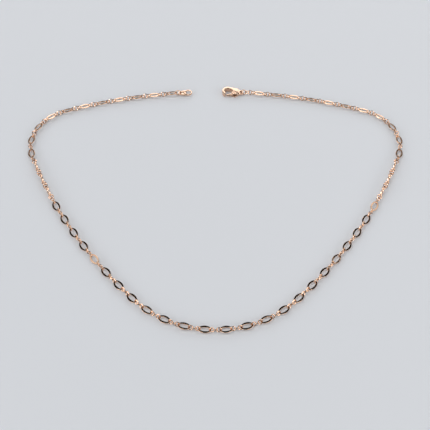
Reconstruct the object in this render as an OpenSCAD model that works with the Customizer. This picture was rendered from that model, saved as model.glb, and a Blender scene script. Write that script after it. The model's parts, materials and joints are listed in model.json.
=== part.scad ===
// Chain necklace: flat oval links and small round wire links, laid on a table.
// The front of the loop points to -Y and the ends lie unclasped at the back.

/* [Oval link] */
// outer length of the flat oval, mm
oval_l = 5.1; // [4.9:0.05:5.3]
// outer width of the flat oval, mm
oval_w = 3.2; // [3.1:0.05:3.4]
// width of the oval's flat band at its ends, mm
band_w = 0.55; // [0.45:0.01:0.56]
// width of the oval's flat band at the middle of its sides, mm
side_w = 0.75; // [0.6:0.05:0.75]
// thickness of the oval's flat band, mm
band_t = 0.34; // [0.28:0.02:0.34]
// radius inside the rounded ends of the oval, mm
end_bend = 0.6; // [0.55:0.01:0.75]

/* [Small link] */
// outer diameter of a small round link, mm
small_d = 2.25; // [2.25:0.05:2.45]
// wire diameter of a small link, mm
wire_d = 0.4; // [0.34:0.02:0.4]
// play at each contact between links, mm
link_play = 0.075; // [0.06:0.005:0.1]

/* [Rolls] */
// roll of the ovals about the chain's own line, degrees
oval_roll = 17; // [12:1:20]
// how far the small links lean from their ovals, degrees
small_lean = 68; // [67:1:74]
// further lean of the middle small link, degrees
middle_lean = 52; // [50:1:58]
// extra twist of the three ovals that stand on edge at each shoulder, degrees
shoulder_twist = 66; // [64:1:78]
// unevenness of the ovals' rolls, degrees
unevenness = 3; // [0:0.5:3]

/* [Jump rings and tag] */
// outer diameter of a jump ring, mm
ring_d = 3; // [2.9:0.05:3.2]
// wire diameter of a jump ring, mm
ring_wire = 0.45; // [0.4:0.02:0.48]
// length of the end tag between its two holes, mm
tag_span = 3.6; // [3.4:0.1:5]
// radius of the tag's hole for its jump ring, mm
tag_eye_r = 0.58; // [0.56:0.01:0.62]
// thickness of the end tag, mm
tag_t = 0.5; // [0.4:0.05:0.6]
// radius of the tag's hole for the clasp, mm
tag_bore_r = 1.2; // [1:0.05:1.25]

/* [Clasp] */
// thickness of the clasp body, mm
clasp_t = 2; // [1.9:0.05:2.2]
// distance from the tail eye to the middle of the claw, mm
claw_span = 6.2; // [6:0.1:7]
// radius of the hole in the tail eye, mm
eye_hole_r = 0.66; // [0.64:0.01:0.7]
// thickness of the tail eye, mm
eye_t = 0.8; // [0.6:0.05:0.85]
// height of the trigger's slot, mm
slot_h = 1; // [0.9:0.05:1.1]
// thickness of the trigger, mm
trigger_t = 0.58; // [0.5:0.02:0.64]
// radius of the rivet's shank, mm
rivet_r = 0.3; // [0.25:0.01:0.32]
// radial gap between the rivet and the trigger, mm
rivet_gap = 0.04; // [0.02:0.01:0.06]

/* [Hidden] */
$fn = 48;
repeats = 52;
metal = [0.86, 0.62, 0.52];
metal_dark = [0.74, 0.52, 0.43];
steel = [0.62, 0.62, 0.64];

// Distances between contacts, and the length of one repeat.
len_o = oval_l - 2 * band_w - link_play;
len_s = small_d - 2 * wire_d - link_play;
pitch = len_o + 3 * len_s;

// The right half of the loop: tangent arcs, lengths in repeats and turns in degrees.
arc_len = [4.3, 11.04, 4.04, 8.62, 5] * pitch;
arc_turn = [45, 23, 92, 20, 8];
mid_y = -7.855 * pitch;

function step(h, k, s) = let(r = 180 / (PI * k)) [r * (sin(h + k * s) - sin(h)), r * (cos(h) - cos(h + k * s))];
function walk(s, i = 0, p = [0, 0], h = 0) =
  let(k = arc_turn[i] / arc_len[i])
  (i == 4 || s <= arc_len[i]) ? p + step(h, k, s)
  : walk(s - arc_len[i], i + 1, p + step(h, k, arc_len[i]), h + arc_turn[i]);

function ramp(x, a, b) = max(0, min(1, (x - a) / (b - a)));
function ease(x, a, b) = let(t = ramp(x, a, b)) t * t * (3 - 2 * t);

// Height of the chain's line: higher where ovals stand on edge, and where a jump ring stands.
low_z = small_d / 2 + 0.01;
edge_z = oval_w / 2 + 0.02;
ring_z = ring_d / 2;
function line_z(s) = let(u = abs(s) / pitch)
  low_z + (edge_z - low_z) * (ease(u, 11.75, 12.3) - ease(u, 14.7, 15.4))
  + (ring_z - low_z) * (s > 0 ? ease(u, 25.2, 26) : ease(u, 25, 25.6));

function route(s) = let(p = walk(abs(s))) [s < 0 ? -p[0] : p[0], p[1] + mid_y, line_z(s)];

// Roll of an oval. Links are counted from the front middle, and the ovals are links 2, 6, 10 and on.
function oval_at(m) = let(a = abs(m))
  oval_roll - 20 * (1 - ease(a, 8, 40)) + unevenness * sin(137 * m)
  + (a >= 50 && a <= 58 ? shoulder_twist : 0) + (m == -30 ? 16 : m == 46 ? 4 : 0) + (m > 2 * repeats ? 60 : 0);

// Roll of any link. Small links lean from their ovals, and share the twist where the ovals turn over.
function roll_of(m) =
  let(j = (m + 4 * repeats + 2) % 4, r = oval_at(m - j), d = oval_at(m - j + 4) - r)
  r + (abs(d) > 40 ? (d + 180 * sign(d)) * [0, 0.3, 0.5, 0.7][j]
       : d * j / 4 + [0, small_lean, small_lean + middle_lean, small_lean][j]);

// Outline of four tangent arcs: a, b are its half lengths and ra the radius of its ends.
module oval_outline(a, b, ra) {
  rb = (pow(a - ra, 2) + b * b - ra * ra) / (2 * (b - ra));
  join_x = a - ra + ra * cos(atan2(rb - b, a - ra));
  for (side = [-1, 1]) translate([side * (a - ra), 0]) circle(ra);
  intersection() {
    translate([0, b - rb]) circle(rb);
    translate([0, rb - b]) circle(rb);
    square([2 * join_x, 4 * b], center = true);
  }
}

module oval_link() {
  color(metal) linear_extrude(band_t, center = true) difference() {
    oval_outline(oval_l / 2, oval_w / 2, end_bend + band_w);
    oval_outline(oval_l / 2 - band_w, oval_w / 2 - side_w, end_bend);
  }
}

module small_link() {
  color(metal) rotate_extrude() translate([(small_d - wire_d) / 2, 0]) circle(d = wire_d);
}

// Lays a link between two points of the route.
module between(s0, s1, roll) {
  p = route(s0);
  q = route(s1);
  d = q - p;
  translate((p + q) / 2) rotate([roll, -asin(d[2] / norm(d)), atan2(d[1], d[0])]) children();
}

module run(i) {
  m = 4 * (i - repeats / 2) - 2;
  s = (i - repeats / 2 - 0.5) * pitch;
  between(s - len_o / 2, s + len_o / 2, roll_of(m)) oval_link();
  for (j = [0:2]) between(s + len_o / 2 + j * len_s, s + len_o / 2 + (j + 1) * len_s, roll_of(m + 1 + j)) small_link();
}

// The jump rings, and the frames of the two ends.
end_r = ring_d / 2 - ring_wire / 2;
half_ring = (ring_d - 2 * ring_wire - link_play) / 2;
right_s = (repeats / 2 - 0.5) * pitch + len_o / 2 + 3 * len_s + half_ring;
left_s = -(repeats / 2 - 0.5) * pitch - len_o / 2 - half_ring;

module at_end(s) {
  p = route(s);
  q = route(s + (s > 0 ? ring_d : -ring_d) / 6);
  translate([p[0], p[1], 0]) rotate([0, 0, atan2(q[1] - p[1], q[0] - p[0])]) children();
}

module jump_ring(s) {
  at_end(s) translate([0, 0, ring_z]) rotate([90, 0, 0]) color(metal_dark)
    rotate_extrude() translate([end_r, 0]) circle(d = ring_wire);
}

module clasp_ring() { jump_ring(right_s); }
module end_ring() { jump_ring(left_s); }

// Where a jump ring's wire passes through a hole at height z, measured from the ring's middle.
function wire_x(z) = sqrt(end_r * end_r - pow(ring_z - z, 2));

// Two round ends and the straight sides that touch both.
module drop(r0, x1, r1) {
  f = asin((r1 - r0) / x1);
  circle(r0);
  translate([x1, 0]) circle(r1);
  polygon([[-r0 * sin(f), -r0 * cos(f)], [x1 - r1 * sin(f), -r1 * cos(f)],
           [x1 - r1 * sin(f), r1 * cos(f)], [-r0 * sin(f), r0 * cos(f)]]);
}

tag_wall = 0.5;
tag_z = ring_z - end_r * 0.59;
module end_tag() {
  at_end(left_s) translate([wire_x(tag_z + tag_t / 2), 0, tag_z]) color(metal) linear_extrude(tag_t) difference() {
    drop(tag_eye_r + tag_wall, tag_span, tag_bore_r + tag_wall);
    circle(tag_eye_r);
    translate([tag_span, 0]) circle(tag_bore_r);
  }
}

// Clasp, in a frame with its tail eye's hole on the Z axis and its hook towards +X.
// Its outlines are drawn for a span of 6.2 mm and follow claw_span.
cs = claw_span / 6.2;
claw_r = 2.5 * cs;
eye_r = 1.12 * cs;
pivot = [3.15, 0.95] * cs;
mid_z = clasp_t / 2;
eye_x = wire_x(mid_z);

module clasp_body() {
  at_end(right_s) translate([eye_x, 0, 0]) color(metal) difference() {
    union() {
      linear_extrude(clasp_t) difference() {
        drop(eye_r, claw_span, claw_r);
        square([2.7 * cs, 3 * claw_r], center = true);
      }
      translate([0, 0, mid_z - eye_t / 2]) linear_extrude(eye_t) intersection() {
        drop(eye_r, claw_span, claw_r);
        translate([-0.2 * cs, 0]) square([3.4 * cs, 3 * claw_r], center = true);
      }
    }
    // tail eye
    translate([0, 0, -1]) cylinder(r = eye_hole_r, h = clasp_t + 2);
    // opening of the claw
    translate([4.7 * cs, -0.12 * cs, -1]) linear_extrude(clasp_t + 2) drop(0.95 * cs, 1.75 * cs, 1.35 * cs);
    // mouth that the trigger closes
    translate([0, 0, -1]) linear_extrude(clasp_t + 2) scale([cs, cs])
      polygon([[4.35, 0.3], [6.7, 0.3], [7.35, 1.6], [7.0, 3.2], [4.1, 3.2]]);
    // slot for the trigger
    translate([0, 0, mid_z - slot_h / 2]) linear_extrude(slot_h) scale([cs, cs])
      polygon([[1.95, 0.1], [4.6, 0.1], [4.6, 3.2], [1.95, 3.2]]);
    // rivet
    translate([pivot[0], pivot[1], -1]) cylinder(r = rivet_r + fixed_gap, h = clasp_t + 2);
    for (z = [-0.5, clasp_t - head_h - 0.04]) translate([pivot[0], pivot[1], z])
      cylinder(r = head_r + 2 * fixed_gap, h = head_h + 0.54);
  }
}

fixed_gap = 0.015;
head_r = rivet_r + 0.17;
head_h = 0.16;
module clasp_rivet() {
  at_end(right_s) translate([eye_x + pivot[0], pivot[1], 0]) color(metal_dark) {
    translate([0, 0, 0.02]) cylinder(r = rivet_r, h = clasp_t - 0.04);
    for (z = [0.02, clasp_t - head_h - 0.02]) translate([0, 0, z]) cylinder(r = head_r, h = head_h);
  }
}

// Trigger: boss, gate arm and thumb tab, in the slot between the two cheeks.
trig_z = mid_z - slot_h / 2 + 0.05;
module clasp_trigger() {
  at_end(right_s) translate([eye_x, 0, trig_z]) color(metal_dark) difference() {
    linear_extrude(trigger_t) {
      translate(pivot) circle(0.68 * cs);
      scale([cs, cs]) {
        polygon([[3.2, 0.3], [4.7, 0.95], [6.15, 1.5], [6.72, 1.72], [6.5, 2.28], [5.5, 2.24], [4.0, 1.95], [3.0, 1.6]]);
        polygon([[2.62, 1.2], [3.5, 1.5], [3.3, 2.3], [2.95, 2.75], [2.5, 2.65]]);
        translate([2.72, 2.62]) circle(0.3);
      }
    }
    translate([pivot[0], pivot[1], -1]) cylinder(r = rivet_r + rivet_gap, h = trigger_t + 2);
  }
}

// Torsion spring: two turns round the rivet, with one leg towards the slot's end wall.
spring_wire = 0.11;
module clasp_spring() {
  coil_r = rivet_r + 0.16;
  at_end(right_s) translate([eye_x + pivot[0], pivot[1], trig_z + trigger_t + spring_wire / 2 + 0.03]) color(steel) {
    for (turn = [0, 0.86]) translate([0, 0, turn * spring_wire]) rotate_extrude()
      translate([coil_r, 0]) circle(d = spring_wire);
    translate([0, -coil_r, 0]) rotate([0, -90, -18]) cylinder(d = 0.9 * spring_wire, h = 1.1 * cs);
  }
}

clasp_body();
clasp_trigger();
clasp_rivet();
clasp_spring();
clasp_ring();
end_ring();
end_tag();
run(1);  // run_01
run(2);  // run_02
run(3);  // run_03
run(4);  // run_04
run(5);  // run_05
run(6);  // run_06
run(7);  // run_07
run(8);  // run_08
run(9);  // run_09
run(10);  // run_10
run(11);  // run_11
run(12);  // run_12
run(13);  // run_13
run(14);  // run_14
run(15);  // run_15
run(16);  // run_16
run(17);  // run_17
run(18);  // run_18
run(19);  // run_19
run(20);  // run_20
run(21);  // run_21
run(22);  // run_22
run(23);  // run_23
run(24);  // run_24
run(25);  // run_25
run(26);  // run_26
run(27);  // run_27
run(28);  // run_28
run(29);  // run_29
run(30);  // run_30
run(31);  // run_31
run(32);  // run_32
run(33);  // run_33
run(34);  // run_34
run(35);  // run_35
run(36);  // run_36
run(37);  // run_37
run(38);  // run_38
run(39);  // run_39
run(40);  // run_40
run(41);  // run_41
run(42);  // run_42
run(43);  // run_43
run(44);  // run_44
run(45);  // run_45
run(46);  // run_46
run(47);  // run_47
run(48);  // run_48
run(49);  // run_49
run(50);  // run_50
run(51);  // run_51
run(52);  // run_52
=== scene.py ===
import json
import math
import bmesh
import bpy
import numpy as np
from mathutils import Matrix, Vector

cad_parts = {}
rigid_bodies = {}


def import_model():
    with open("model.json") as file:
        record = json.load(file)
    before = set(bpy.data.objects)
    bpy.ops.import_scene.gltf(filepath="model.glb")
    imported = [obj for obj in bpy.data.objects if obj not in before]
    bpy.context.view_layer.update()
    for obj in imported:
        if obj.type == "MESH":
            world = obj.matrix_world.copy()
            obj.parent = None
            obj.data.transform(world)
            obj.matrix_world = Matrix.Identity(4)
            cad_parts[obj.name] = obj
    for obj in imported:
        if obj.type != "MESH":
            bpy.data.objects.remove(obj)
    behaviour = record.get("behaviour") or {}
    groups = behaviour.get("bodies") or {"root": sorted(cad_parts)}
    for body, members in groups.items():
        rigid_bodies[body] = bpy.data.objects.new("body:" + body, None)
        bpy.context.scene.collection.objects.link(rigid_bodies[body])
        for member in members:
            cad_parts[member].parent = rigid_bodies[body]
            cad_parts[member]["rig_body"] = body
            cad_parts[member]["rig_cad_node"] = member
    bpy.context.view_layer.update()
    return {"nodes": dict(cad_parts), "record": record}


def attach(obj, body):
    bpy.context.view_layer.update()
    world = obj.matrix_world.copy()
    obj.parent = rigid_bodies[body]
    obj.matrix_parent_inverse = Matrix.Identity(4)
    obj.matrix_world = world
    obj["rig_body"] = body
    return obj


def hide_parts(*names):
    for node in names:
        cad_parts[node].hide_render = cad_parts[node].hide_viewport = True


# A chain necklace: flat oval links and small wire links, a lobster clasp and an end tag.

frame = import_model()
scene = bpy.context.scene
mm = 0.001  # the link patterns are drawn in millimetres, and all else is in metres

# the camera looks down from the front, at the flat chain
cameraSet = {
    "aim": (-0.00015, -0.00913, 0.0012),
    "distance": 0.3668,
    "elevation": 53.17,
    "sensor": 36,
    "lens": 74.2,
    "near": 0.01,
}


def addCamera(c):
    rise = math.radians(c["elevation"])
    aim = Vector(c["aim"])
    place = aim + c["distance"] * Vector((0, -math.cos(rise), math.sin(rise)))
    bpy.ops.object.camera_add(location=place)
    camera = bpy.context.object
    camera.rotation_euler = (aim - place).to_track_quat("-Z", "Y").to_euler()
    camera.data.sensor_width = c["sensor"]
    camera.data.lens = c["lens"]
    camera.data.clip_start = c["near"]
    scene.camera = camera


addCamera(cameraSet)
print("camera: placed")

solidGap = 1e-6  # corners this near to each other are merged, in metres
patternGap = 0.002  # the same for a link pattern, in millimetres

# edges that bend by less than this, in degrees, are shaded smooth
smoothUnder = {"chain": 40, "jumpRing": 50, "casting": 35}


def pickOnly(piece):
    if bpy.context.object and bpy.context.object.mode != "OBJECT":
        bpy.ops.object.mode_set(mode="OBJECT")
    bpy.ops.object.select_all(action="DESELECT")
    piece.select_set(True)
    bpy.context.view_layer.objects.active = piece


def editAll():
    bpy.ops.object.mode_set(mode="EDIT")
    bpy.ops.mesh.select_all(action="SELECT")


def weld(piece, gap):
    pickOnly(piece)
    editAll()
    bpy.ops.mesh.remove_doubles(threshold=gap)
    bpy.ops.mesh.normals_make_consistent(inside=False)
    bpy.ops.object.mode_set(mode="OBJECT")


def smooth(piece, angle):
    pickOnly(piece)
    bpy.ops.object.shade_smooth_by_angle(angle=math.radians(angle), keep_sharp_edges=False)


def giveMetal(piece, metal):
    piece.data.materials.clear()
    piece.data.materials.append(metal)


def mergedCopy(node):
    piece = frame["nodes"][node].copy()
    piece.data = piece.data.copy()
    piece.parent = None
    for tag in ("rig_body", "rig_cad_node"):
        if tag in piece:
            del piece[tag]
    scene.collection.objects.link(piece)
    weld(piece, solidGap)
    return piece


def loosePieces(piece):
    # the separate solids of a merged mesh, as arrays of triangle corners
    work = bmesh.new()
    work.from_mesh(piece.data)
    bmesh.ops.triangulate(work, faces=work.faces)
    seen, groups = set(), []
    for start in work.faces:
        if start.index in seen:
            continue
        seen.add(start.index)
        group, waiting = [], [start]
        while waiting:
            face = waiting.pop()
            group.append([v.co[:] for v in face.verts])
            for line in face.edges:
                for other in line.link_faces:
                    if other.index not in seen:
                        seen.add(other.index)
                        waiting.append(other)
        groups.append(np.array(group))
    work.free()
    return groups


def mainAxes(corners):
    # middle, axes from the longest to the shortest, and sizes along them
    cross = np.cross(corners[:, 1] - corners[:, 0], corners[:, 2] - corners[:, 0])
    area = np.linalg.norm(cross, axis=1)
    centre = corners.mean(axis=1)
    middle = (centre * area[:, None]).sum(0) / area.sum()
    off = centre - middle
    spread = (off * area[:, None]).T @ off
    axes = np.linalg.eigh(spread)[1][:, ::-1].T
    points = corners.reshape(-1, 3) @ axes.T
    low, high = points.min(0), points.max(0)
    return axes.T @ ((low + high) / 2), axes, high - low


def placedAt(middle, along, normal):
    # z is the normal, and x is as near to along as it can be
    x = Vector(along).normalized()
    z = Vector(normal).normalized()
    y = z.cross(x).normalized()
    x = y.cross(z)
    place = Matrix((x, y, z)).transposed().to_4x4()
    place.translation = Vector(middle)
    return place


# oval link: sizes in millimetres, and edges that bend by more than "worn" degrees are worn
ovalSet = {
    "length": 5.1,
    "width": 3.2,
    "endBand": 0.55,
    "sideBand": 0.75,
    "thick": 0.34,
    "innerBend": 0.6,
    "edge": 0.045,
    "worn": 50,
    "endSteps": 7,
    "sideSteps": 5,
}


def outline(a, b, r, o):
    # a rounded end and a long side, then the same two turned round
    endX = a - r
    sideR = (endX ** 2 + b * b - r * r) / (2 * (b - r))
    half = math.atan2(sideR - b, endX)
    points = []
    for k in range(o["endSteps"]):
        turn = 2 * half * k / o["endSteps"] - half
        points.append((endX + r * math.cos(turn), r * math.sin(turn)))
    for k in range(o["sideSteps"]):
        turn = half + (math.pi - 2 * half) * k / o["sideSteps"]
        points.append((sideR * math.cos(turn), b - sideR + sideR * math.sin(turn)))
    points += [(-x, -y) for x, y in points]
    bpy.ops.object.select_all(action="DESELECT")
    bpy.ops.mesh.primitive_circle_add(
        vertices=len(points), radius=1, fill_type="NOTHING")
    line = bpy.context.object
    for v, (x, y) in zip(line.data.vertices, points):
        v.co = (x, y, 0)
    return line


def makeOval(o):
    a, b, r = o["length"] / 2, o["width"] / 2, o["innerBend"]
    inner = outline(a - o["endBand"], b - o["sideBand"], r, o)
    link = outline(a, b, r + o["endBand"], o)
    inner.select_set(True)
    bpy.ops.object.join()
    editAll()
    bpy.ops.mesh.bridge_edge_loops()
    bpy.ops.object.mode_set(mode="OBJECT")
    sheet = link.modifiers.new("thickness", "SOLIDIFY")
    sheet.thickness = o["thick"]
    sheet.offset = 0
    bpy.ops.object.modifier_apply(modifier="thickness")
    corner = link.modifiers.new("worn_edges", "BEVEL")
    corner.width = o["edge"]
    corner.segments = 1
    corner.limit_method = "ANGLE"
    corner.angle_limit = math.radians(o["worn"])
    bpy.ops.object.modifier_apply(modifier="worn_edges")
    weld(link, patternGap)
    link.name = "oval_pattern"
    return link


# small round link of wire: sizes in millimetres, and the seam swells by a factor
smallSet = {"outer": 2.25, "wire": 0.4, "sides": 6, "steps": 16, "seam": 1.1}


def makeWireRing(r, cut=0.0):
    # a round wire spun into a ring, closed by a slightly swollen seam or left with a cut
    reach = (r["outer"] - r["wire"]) / 2
    bpy.ops.object.select_all(action="DESELECT")
    bpy.ops.mesh.primitive_circle_add(
        vertices=r["sides"], radius=r["wire"] / 2, fill_type="NGON" if cut else "NOTHING",
        location=(0, reach, 0), rotation=(math.pi / 2, 0, math.pi / 2))
    ring = bpy.context.object
    bpy.ops.object.transform_apply(location=True, rotation=True, scale=True)
    editAll()
    bpy.ops.mesh.spin(
        steps=r["steps"], angle=2 * math.pi - cut, center=(0, 0, 0), axis=(0, 0, 1))
    bpy.ops.object.mode_set(mode="OBJECT")
    if not cut:
        weld(ring, patternGap)
        seam = Vector((0, reach, 0))  # where the wire is soldered
        for v in ring.data.vertices:
            if abs(v.co.x) < patternGap / 2 and v.co.y > 0:
                v.co = seam + r["seam"] * (v.co - seam)
    return ring


ovalPattern = makeOval(ovalSet)
smallPattern = makeWireRing(smallSet)
print("oval link:", len(ovalPattern.data.polygons), "faces")
print("small link:", len(smallPattern.data.polygons), "faces")

# metals: rose gold plate, and the steel of the spring
# grain and scratch say how fine the patterns are, and rough is the range of the gloss
goldSet = {
    "colour": (0.86, 0.59, 0.42),
    "deep": (0.56, 0.31, 0.19),
    "rough": (0.04, 0.10),
    "grain": 1400,
    "scratch": 5200,
    "bump": 0.05,
}
castSet = {
    "colour": (0.87, 0.61, 0.45),
    "deep": (0.72, 0.45, 0.31),
    "rough": (0.09, 0.20),
    "grain": 900,
    "scratch": 3600,
    "bump": 0.09,
}
ringSet = {
    "colour": (0.87, 0.61, 0.44),
    "deep": (0.70, 0.43, 0.29),
    "rough": (0.06, 0.14),
    "grain": 1600,
    "scratch": 6000,
    "bump": 0.05,
}
steelSet = {
    "colour": (0.62, 0.62, 0.63),
    "deep": (0.42, 0.41, 0.41),
    "rough": (0.16, 0.32),
    "grain": 2600,
    "scratch": 7000,
    "bump": 0.08,
}

# what the metals share: clouds in the plating, smears in the polish, and hairlines
polishSet = {
    "cloudDetail": 3,
    "cloudRange": (0.25, 0.5),
    "smearSize": 0.4,  # of the grain
    "smearDetail": 2,
    "smearRange": (0.3, 0.7),
    "hairDetail": 4,
    "hairStretch": (1, 0.12, 0.4),
    "hairTurn": (0.4, 0.3, 0.7),
    "hairDepth": 0.00005,
}


def polishedMetal(name, m, p):
    material = bpy.data.materials.new(name)
    material.use_nodes = True
    nodes, links = material.node_tree.nodes, material.node_tree.links
    shader = nodes["Principled BSDF"]
    shader.inputs["Metallic"].default_value = 1.0
    place = nodes.new("ShaderNodeTexCoord")

    def noise(size, detail, stretch=None):
        pattern = nodes.new("ShaderNodeTexNoise")
        pattern.inputs["Scale"].default_value = size
        pattern.inputs["Detail"].default_value = detail
        if stretch:
            turn = nodes.new("ShaderNodeMapping")
            turn.inputs["Scale"].default_value = stretch
            turn.inputs["Rotation"].default_value = p["hairTurn"]
            links.new(place.outputs["Object"], turn.inputs["Vector"])
            links.new(turn.outputs["Vector"], pattern.inputs["Vector"])
        else:
            links.new(place.outputs["Object"], pattern.inputs["Vector"])
        return pattern

    cloud = noise(m["grain"], p["cloudDetail"])
    tone = nodes.new("ShaderNodeMix")  # a deeper colour where the plating is thinner
    tone.data_type = "RGBA"
    tone.inputs["A"].default_value = (*m["deep"], 1)
    tone.inputs["B"].default_value = (*m["colour"], 1)
    fade = nodes.new("ShaderNodeMapRange")
    fade.inputs["From Min"].default_value = p["cloudRange"][0]
    fade.inputs["From Max"].default_value = p["cloudRange"][1]
    links.new(cloud.outputs["Fac"], fade.inputs["Value"])
    links.new(fade.outputs["Result"], tone.inputs["Factor"])
    links.new(tone.outputs["Result"], shader.inputs["Base Color"])
    smear = noise(m["grain"] * p["smearSize"], p["smearDetail"])  # left by handling
    gloss = nodes.new("ShaderNodeMapRange")
    gloss.inputs["From Min"].default_value = p["smearRange"][0]
    gloss.inputs["From Max"].default_value = p["smearRange"][1]
    gloss.inputs["To Min"].default_value = m["rough"][0]
    gloss.inputs["To Max"].default_value = m["rough"][1]
    links.new(smear.outputs["Fac"], gloss.inputs["Value"])
    links.new(gloss.outputs["Result"], shader.inputs["Roughness"])
    hair = noise(m["scratch"], p["hairDetail"], p["hairStretch"])  # left by polishing
    relief = nodes.new("ShaderNodeBump")
    relief.inputs["Strength"].default_value = m["bump"]
    relief.inputs["Distance"].default_value = p["hairDepth"]
    links.new(hair.outputs["Fac"], relief.inputs["Height"])
    links.new(relief.outputs["Normal"], shader.inputs["Normal"])
    return material


linkMetal = polishedMetal("link_rose_gold", goldSet, polishSet)
ringMetal = polishedMetal("jump_ring_rose_gold", ringSet, polishSet)
castMetal = polishedMetal("cast_rose_gold", castSet, polishSet)
springMetal = polishedMetal("spring_steel", steelSet, polishSet)
print("metals: made")


def copyOf(pattern, place, metal):
    link = pattern.copy()
    link.data = pattern.data.copy()
    scene.collection.objects.link(link)
    link.data.transform(place @ Matrix.Scale(mm, 4))
    giveMetal(link, metal)
    return link


def buildRun(node, body):
    # one oval and its small links, each laid where its solid is
    solid = mergedCopy(node)
    links = [mainAxes(corners) for corners in loosePieces(solid)]
    bpy.data.objects.remove(solid)
    oval = max(links, key=lambda link: link[2][0])
    smalls = [link for link in links if link is not oval]
    smalls.sort(key=lambda link: np.linalg.norm(link[0] - oval[0]))
    made = [copyOf(ovalPattern, placedAt(oval[0], oval[1][0], oval[1][2]), linkMetal)]
    along = smalls[-1][0] - oval[0]
    for middle, axes, _ in smalls:
        axis = axes[2] * (1 if axes[2][2] > 0 else -1)
        place = placedAt(middle, along - axis * (along @ axis), axis)
        made.append(copyOf(smallPattern, place, linkMetal))
    chain = made[0]
    pickOnly(chain)
    for link in made[1:]:
        link.select_set(True)
    bpy.ops.object.join()
    chain.name = chain.data.name = node + "_links"
    smooth(chain, smoothUnder["chain"])
    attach(chain, body)
    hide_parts(node)
    return len(links)


total = 0
bodies = frame["record"]["behaviour"]["bodies"]
bodyOf = {node: body for body, nodes in bodies.items() for node in nodes}
for node in sorted(bodyOf):
    if node.startswith("run_"):
        total += buildRun(node, bodyOf[node])
bpy.data.objects.remove(ovalPattern)
bpy.data.objects.remove(smallPattern)
print("chain:", total, "links")

# the two jump rings: sizes in millimetres, and each one's fine cut in radians
jumpSet = {"outer": 3.0, "wire": 0.45, "sides": 12, "steps": 44, "cut": 0.03}

for node in ("clasp_ring", "end_ring"):
    solid = mergedCopy(node)
    middle, axes, _ = mainAxes(loosePieces(solid)[0])
    bpy.data.objects.remove(solid)
    pattern = makeWireRing(jumpSet, cut=jumpSet["cut"])
    ring = copyOf(pattern, placedAt(middle, (1, 0, 0), axes[2]), ringMetal)
    bpy.data.objects.remove(pattern)
    ring.name = ring.data.name = node + "_wire"
    smooth(ring, smoothUnder["jumpRing"])
    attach(ring, bodyOf[node])
    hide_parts(node)
print("jump rings: made")

# cast pieces: their names, the width of their rounded edges in millimetres, and its steps
castEdges = {
    "clasp_body": ("clasp_casting", 0.3, 4),
    "clasp_trigger": ("clasp_lever", 0.12, 3),
    "clasp_rivet": ("clasp_pin", 0.06, 2),
    "end_tag": ("end_tag_plate", 0.1, 3),
}
flatUnder = 1  # facets that bend by less than this, in degrees, become one face
roundOver = 40  # edges that bend by more than this are rounded


def castPiece(node, name, width, steps):
    piece = mergedCopy(node)
    piece.name = piece.data.name = name
    pickOnly(piece)
    editAll()
    bpy.ops.mesh.dissolve_limited(angle_limit=math.radians(flatUnder))
    bpy.ops.object.mode_set(mode="OBJECT")
    bevel = piece.modifiers.new("soft_edges", "BEVEL")
    bevel.width = width * mm
    bevel.segments = steps
    bevel.limit_method = "ANGLE"
    bevel.angle_limit = math.radians(roundOver)
    bpy.ops.object.modifier_apply(modifier="soft_edges")
    smooth(piece, smoothUnder["casting"])
    giveMetal(piece, castMetal)
    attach(piece, bodyOf[node])
    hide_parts(node)


for node, values in castEdges.items():
    castPiece(node, *values)
giveMetal(frame["nodes"]["clasp_spring"], springMetal)
print("clasp and tag: made")

# the pale board that the necklace lies on, a hair below it
floorSet = {"size": 3.0, "drop": 0.00001, "colour": (0.72, 0.74, 0.775), "rough": 0.6}


def makeFloor(f):
    bpy.ops.object.select_all(action="DESELECT")
    bpy.ops.mesh.primitive_plane_add(size=f["size"], location=(0, 0, -f["drop"]))
    floor = bpy.context.object
    floor.name = "floor"
    bpy.ops.object.transform_apply(location=True, rotation=False, scale=False)
    material = bpy.data.materials.new("pale_board")
    material.use_nodes = True
    shader = material.node_tree.nodes["Principled BSDF"]
    shader.inputs["Base Color"].default_value = (*f["colour"], 1)
    shader.inputs["Roughness"].default_value = f["rough"]
    floor.data.materials.append(material)


makeFloor(floorSet)

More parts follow.
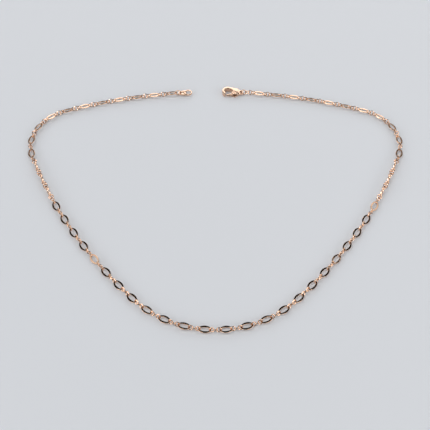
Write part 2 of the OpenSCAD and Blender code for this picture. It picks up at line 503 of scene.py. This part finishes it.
# large softboxes at the sides, behind and in front, and three small ones higher up
lampSet = {
    # name: direction from the necklace, distance, width, height, brightness of its face, colour
    "left_box": ((-0.90, -0.04, 0.42), 0.7, 0.56, 0.30, 2.3, (0.97, 0.985, 1.0)),
    "right_box": ((0.90, -0.06, 0.42), 0.7, 0.50, 0.28, 2.1, (1.0, 0.99, 0.98)),
    "back_box": ((0.0, 0.887, 0.46), 0.8, 0.84, 0.54, 1.7, (1.0, 1.0, 1.0)),
    "front_left_box": ((-0.58, -0.70, 0.40), 0.8, 0.50, 0.36, 2.2, (1.0, 1.0, 1.0)),
    "front_right_box": ((0.58, -0.70, 0.40), 0.8, 0.50, 0.36, 2.0, (1.0, 1.0, 1.0)),
    "left_card": ((-0.73, 0.08, 0.68), 0.7, 0.20, 0.16, 0.8, (1.0, 0.99, 0.97)),
    "right_card": ((0.74, 0.28, 0.61), 0.7, 0.15, 0.15, 0.8, (1.0, 0.99, 0.97)),
    "top_card": ((0.38, 0.02, 0.925), 0.8, 0.36, 0.36, 2.4, (1.0, 1.0, 1.0)),
}


def addSoftbox(name, direction, distance, wide, high, glow, colour):
    toward = Vector(direction).normalized()
    bpy.ops.object.light_add(type="AREA", location=toward * distance)
    lamp = bpy.context.object
    lamp.name = name
    lamp.rotation_euler = (-toward).to_track_quat("-Z", "Y").to_euler()
    lamp.data.shape = "RECTANGLE"
    lamp.data.size = wide
    lamp.data.size_y = high
    lamp.data.color = colour
    lamp.data.energy = glow * math.pi * wide * high  # so that its face looks this bright


for name, values in lampSet.items():
    addSoftbox(name, *values)

# a faint soft sun, high on the left, for the shadow on the right
sunSet = {"direction": (-0.38, 0.02, 0.925), "strength": 0.7, "spread": 26}


def addSun(u):
    bpy.ops.object.light_add(type="SUN")
    sun = bpy.context.object
    sun.name = "soft_sun"
    sun.rotation_euler = (-Vector(u["direction"])).to_track_quat("-Z", "Y").to_euler()
    sun.data.energy = u["strength"]
    sun.data.angle = math.radians(u["spread"])


addSun(sunSet)

# a faint glow from around the table and nearly none from above, which flat links mirror
skySet = {"low": 0.2, "high": 0.01, "from": 0.6, "to": 0.7, "colour": (0.97, 0.98, 1.0)}


def makeSky(k):
    world = bpy.data.worlds.new("studio")
    scene.world = world
    world.use_nodes = True
    nodes, links = world.node_tree.nodes, world.node_tree.links
    back = nodes["Background"]
    place = nodes.new("ShaderNodeTexCoord")
    split = nodes.new("ShaderNodeSeparateXYZ")
    fall = nodes.new("ShaderNodeMapRange")
    fall.interpolation_type = "SMOOTHSTEP"
    fall.inputs["From Min"].default_value = k["from"]
    fall.inputs["From Max"].default_value = k["to"]
    fall.inputs["To Min"].default_value = k["low"]
    fall.inputs["To Max"].default_value = k["high"]
    links.new(place.outputs["Generated"], split.inputs["Vector"])
    links.new(split.outputs["Z"], fall.inputs["Value"])
    links.new(fall.outputs["Result"], back.inputs["Strength"])
    back.inputs["Color"].default_value = (*k["colour"], 1)


makeSky(skySet)
scene.view_settings.view_transform = "Standard"
print("light: made")
